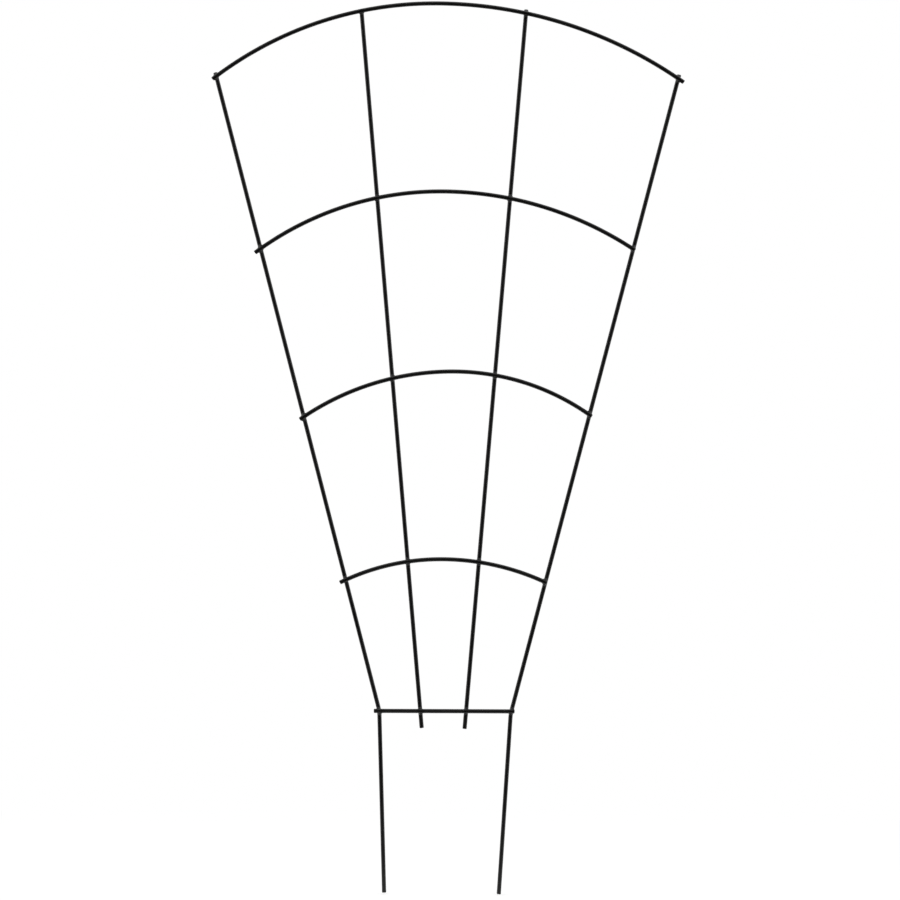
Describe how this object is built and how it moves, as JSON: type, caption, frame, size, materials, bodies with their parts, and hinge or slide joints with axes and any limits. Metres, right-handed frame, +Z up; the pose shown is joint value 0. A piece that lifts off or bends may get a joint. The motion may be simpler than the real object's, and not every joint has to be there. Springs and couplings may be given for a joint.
{
  "type": "wire pot trellis",
  "caption": "Fan-shaped trellis of welded, black-coated wire with arched cross wires and long legs that push into a pot's soil, for climbing plants.",
  "frame": {"origin": "middle of the trellis, level with the lower leg tip, halfway between the front layer of cross wires and the back layer of uprights", "axes": "+X to the right seen from the front, +Y away from the front, +Z up the fan"},
  "size_m": [0.4043, 0.0076, 0.762],
  "materials": {
    "wire_coat": "satin black coat on steel wire",
    "weld_coat": "satin black coat, thicker and a little uneven over the welds"
  },
  "bodies": {
    "root": {"outer_left_upright": "wire_coat", "inner_left_upright": "wire_coat", "inner_right_upright": "wire_coat", "outer_right_upright": "wire_coat", "top_arch": "wire_coat", "upper_arch": "wire_coat", "middle_arch": "wire_coat", "lower_arch": "wire_coat", "crossbar": "wire_coat", "weld_top_arch_outer_left": "weld_coat", "weld_top_arch_inner_left": "weld_coat", "weld_top_arch_inner_right": "weld_coat", "weld_top_arch_outer_right": "weld_coat", "weld_upper_arch_outer_left": "weld_coat", "weld_upper_arch_inner_left": "weld_coat", "weld_upper_arch_inner_right": "weld_coat", "weld_upper_arch_outer_right": "weld_coat", "weld_middle_arch_outer_left": "weld_coat", "weld_middle_arch_inner_left": "weld_coat", "weld_middle_arch_inner_right": "weld_coat", "weld_middle_arch_outer_right": "weld_coat", "weld_lower_arch_outer_left": "weld_coat", "weld_lower_arch_inner_left": "weld_coat", "weld_lower_arch_inner_right": "weld_coat", "weld_lower_arch_outer_right": "weld_coat", "weld_crossbar_outer_left": "weld_coat", "weld_crossbar_inner_left": "weld_coat", "weld_crossbar_inner_right": "weld_coat", "weld_crossbar_outer_right": "weld_coat"}
  },
  "joints": []
}
